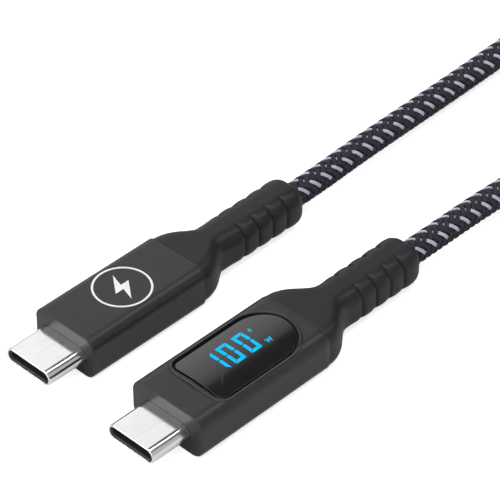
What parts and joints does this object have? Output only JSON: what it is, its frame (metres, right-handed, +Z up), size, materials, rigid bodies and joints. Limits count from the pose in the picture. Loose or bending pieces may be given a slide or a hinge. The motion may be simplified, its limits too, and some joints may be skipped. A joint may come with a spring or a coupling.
{
  "type": "usb power meter cable",
  "caption": "Braided USB-C to USB-C charging cable with a small watt display built into one plug; spare cord coiled and tied.",
  "frame": {"origin": "on the surface the cable lies on, under the middle of the meter head (plug shell, housing and strain relief)", "axes": "+X along the meter head, from its plug's mouth towards its cord; +Z up, out of the display; +Y towards the plain plug"},
  "size_m": [0.1682, 0.0606, 0.009],
  "materials": {
    "steel_shell": "bright nickel plate",
    "carrier_plastic": "matte moulding",
    "gold_contacts": "gold plate",
    "spring_steel": "satin",
    "inner_plastic": "matte moulding",
    "circuit_board": "solder mask",
    "shield_steel": "tinned",
    "chip_epoxy": "matte epoxy",
    "crimp_steel": "satin",
    "cord_braid": "braided polyester",
    "wire_insulation": "semi-gloss",
    "signal_insulation": "semi-gloss",
    "relief_rubber": "matte",
    "housing_plastic": "fine matte texture",
    "window_lens": "smoked and polished",
    "gasket_foam": "matte",
    "lit_segments": "lit cyan",
    "display_module": "moulded",
    "shunt_alloy": "satin",
    "capacitor_ceramic": "ceramic body",
    "badge_ink": "printed",
    "tie_fabric": "hook-and-loop strap"
  },
  "bodies": {
    "root": {"meter_plug_shell": "steel_shell", "meter_contact_carrier": "carrier_plastic", "meter_upper_contacts": "gold_contacts", "meter_lower_contacts": "gold_contacts", "meter_latch_spring": "spring_steel", "meter_ground_springs": "spring_steel", "meter_plug_collar": "inner_plastic", "meter_circuit_board": "circuit_board", "meter_shield_can": "shield_steel", "meter_emarker_chip": "chip_epoxy", "meter_crimp_ring": "crimp_steel", "meter_cable_tail": "cord_braid", "meter_power_wires": "wire_insulation", "meter_signal_wires": "signal_insulation", "meter_strain_relief": "relief_rubber", "plain_plug_shell": "steel_shell", "plain_contact_carrier": "carrier_plastic", "plain_upper_contacts": "gold_contacts", "plain_lower_contacts": "gold_contacts", "plain_latch_spring": "spring_steel", "plain_ground_springs": "spring_steel", "plain_plug_collar": "inner_plastic", "plain_circuit_board": "circuit_board", "plain_shield_can": "shield_steel", "plain_emarker_chip": "chip_epoxy", "plain_crimp_ring": "crimp_steel", "plain_cable_tail": "cord_braid", "plain_power_wires": "wire_insulation", "plain_signal_wires": "signal_insulation", "plain_strain_relief": "relief_rubber", "meter_housing": "housing_plastic", "display_window": "window_lens", "window_gasket": "gasket_foam", "display_digits": "lit_segments", "charging_sign": "lit_segments", "watt_sign": "lit_segments", "display_module": "display_module", "meter_controller_chip": "chip_epoxy", "current_shunt": "shunt_alloy", "board_capacitors": "capacitor_ceramic", "plain_housing": "housing_plastic", "plain_badge": "badge_ink", "cord_meter_run": "cord_braid", "cord_plain_run": "cord_braid", "cord_coil": "cord_braid", "cord_tie_near": "tie_fabric", "cord_tie_far": "tie_fabric"}
  },
  "joints": []
}
